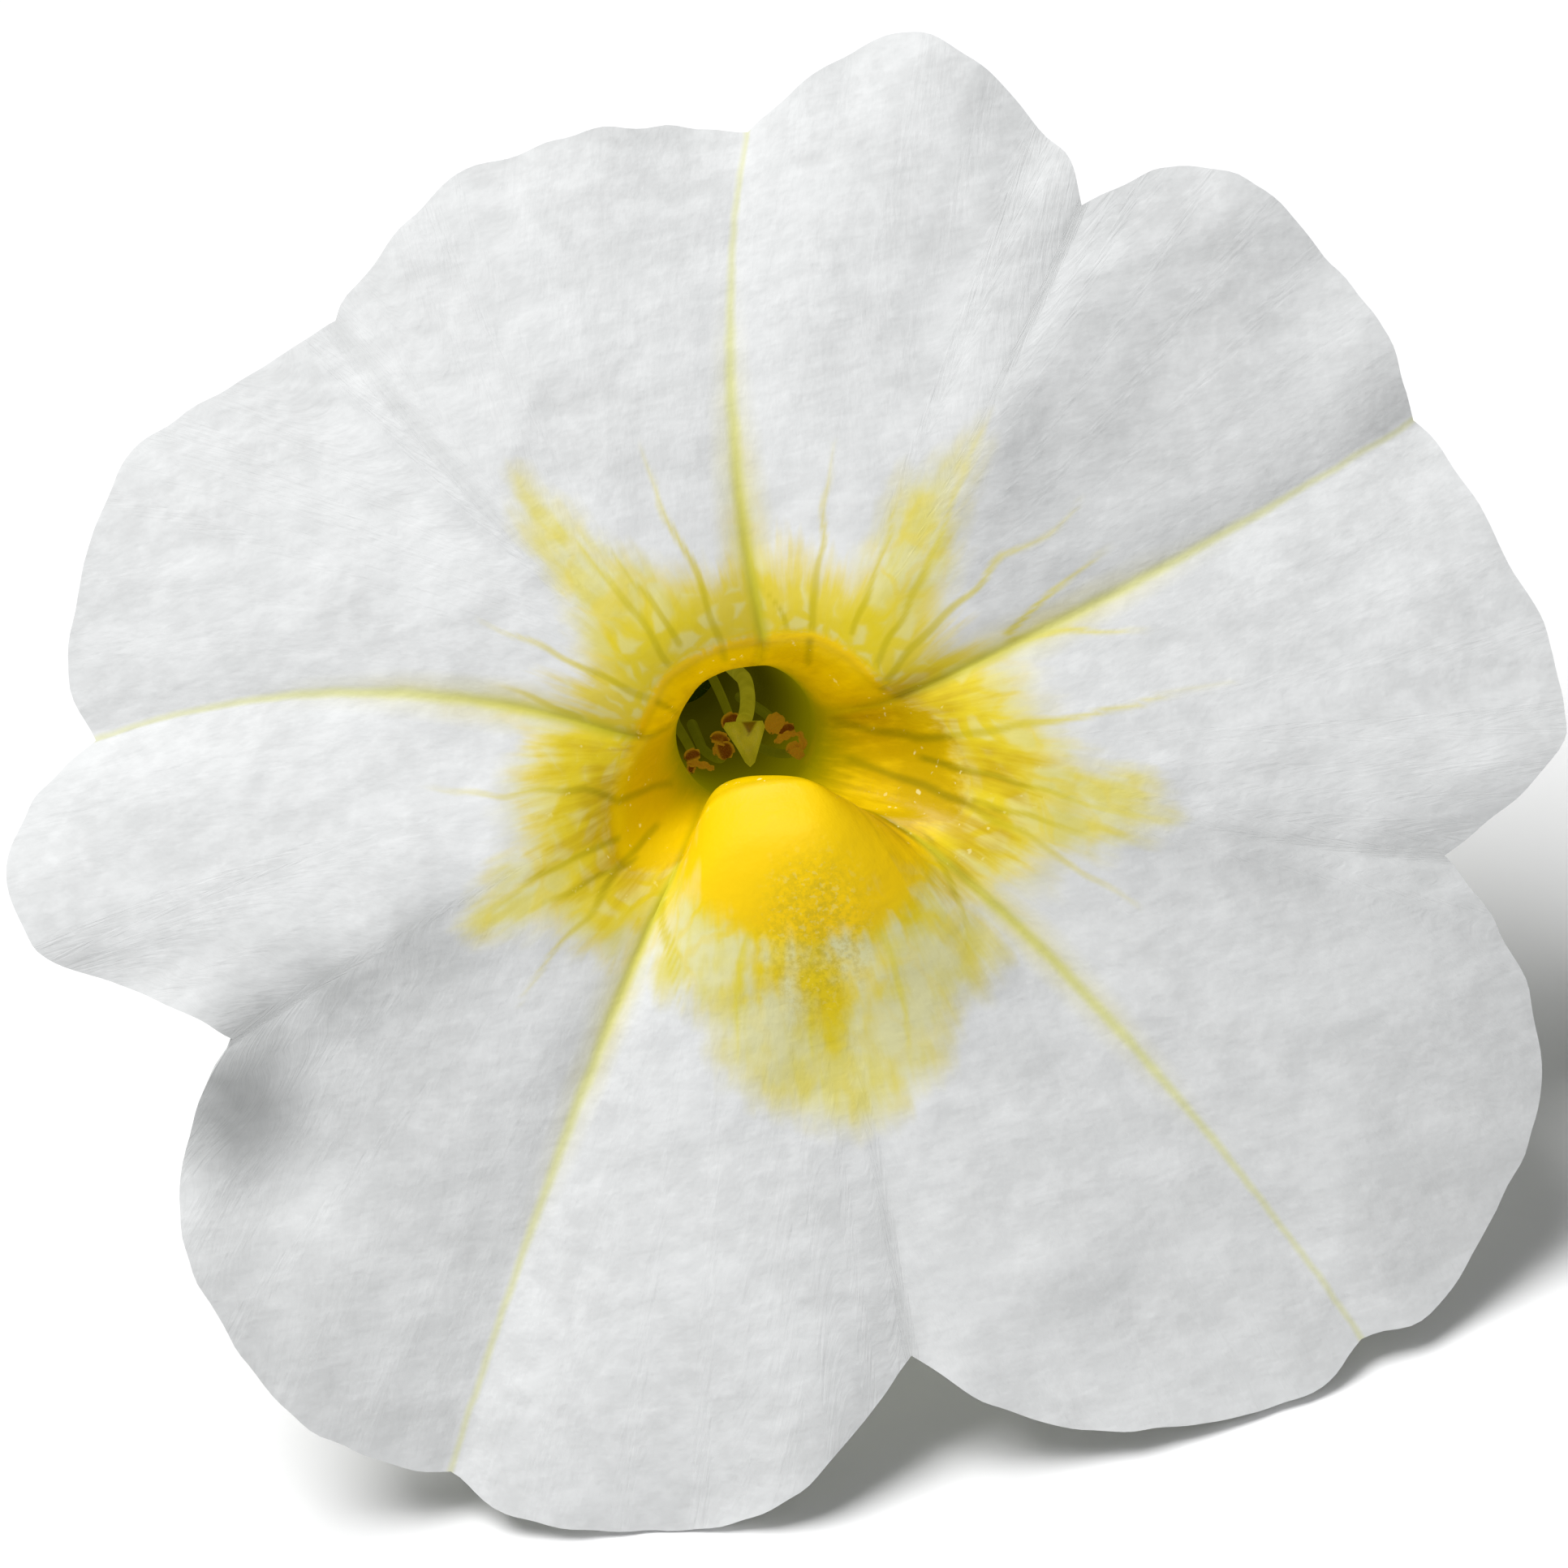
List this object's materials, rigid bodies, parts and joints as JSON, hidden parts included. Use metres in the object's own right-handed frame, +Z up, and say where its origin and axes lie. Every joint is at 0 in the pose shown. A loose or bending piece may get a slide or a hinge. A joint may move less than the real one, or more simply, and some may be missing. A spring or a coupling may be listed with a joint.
{
  "type": "calibrachoa flower",
  "caption": "Picked calibrachoa flower lying on its side: white fused petals with a yellow throat, on a narrow tube with green calyx and stalk.",
  "frame": {"origin": "centre of the bounding box's lower face, on the surface that the flower lies on", "axes": "+X to the right across the face, along the longest side; +Y backwards, away from the side that the face looks to; +Z up. The face looks towards -Y and up."},
  "size_m": [0.03, 0.029, 0.0224],
  "materials": {
    "petal": "white petal tissue with a soft sheen, yellow in the throat, with yellow-green veins",
    "calyx_green": "matt green leaf tissue with short hairs",
    "stalk_green": "matt green stem tissue with short hairs",
    "pistil_green": "moist yellow-green tissue",
    "filament": "smooth pale green thread",
    "anther": "dry brown and orange tissue with pollen grains"
  },
  "bodies": {
    "root": {"corolla": "petal", "calyx": "calyx_green", "stalk": "stalk_green", "pistil": "pistil_green", "filament_1": "filament", "filament_2": "filament", "filament_3": "filament", "filament_4": "filament", "filament_5": "filament", "anther_1": "anther", "anther_2": "anther", "anther_3": "anther", "anther_4": "anther", "anther_5": "anther"}
  },
  "joints": []
}
